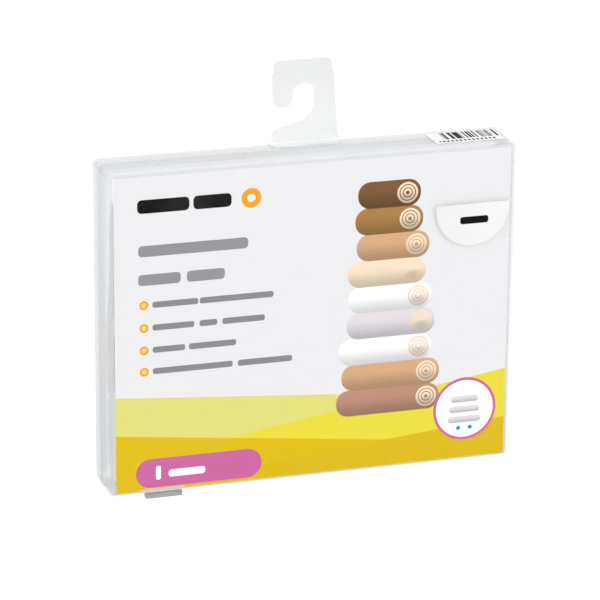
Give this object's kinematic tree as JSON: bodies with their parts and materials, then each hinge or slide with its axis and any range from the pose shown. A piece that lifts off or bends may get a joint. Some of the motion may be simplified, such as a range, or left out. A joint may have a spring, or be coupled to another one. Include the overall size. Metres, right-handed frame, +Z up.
{
  "type": "clear hanging retail box with folded maternity support band",
  "caption": "Clear two-shell plastic box with a hang hook, hinged front lid, printed card and labels, holding a folded white knitted support band.",
  "frame": {"origin": "on the resting face of the closed box, midway along its width and depth", "axes": "+X to the right seen from the front, +Y to the back, +Z up"},
  "size_m": [0.2, 0.0308, 0.2003],
  "materials": {
    "clear_plastic": "clear moulded plastic, glossy",
    "milky_plastic": "milky translucent sheet, satin",
    "printed_card": "coated card, printed",
    "label_paper": "white sticker paper",
    "white_knit": "fine rib knit"
  },
  "bodies": {
    "box": {"tray": "clear_plastic", "hang_hook": "milky_plastic", "seal_label": "label_paper", "folded_band": "white_knit"},
    "lid": {"lid": "clear_plastic", "card_insert": "printed_card", "round_label": "label_paper"}
  },
  "joints": [
    {"name": "lid_hinge", "type": "hinge", "parent": "box", "child": "lid", "pos_m": [0, 0.004, -0.00015], "axis": [1, 0, 0], "range_deg": [0, 180]}
  ]
}
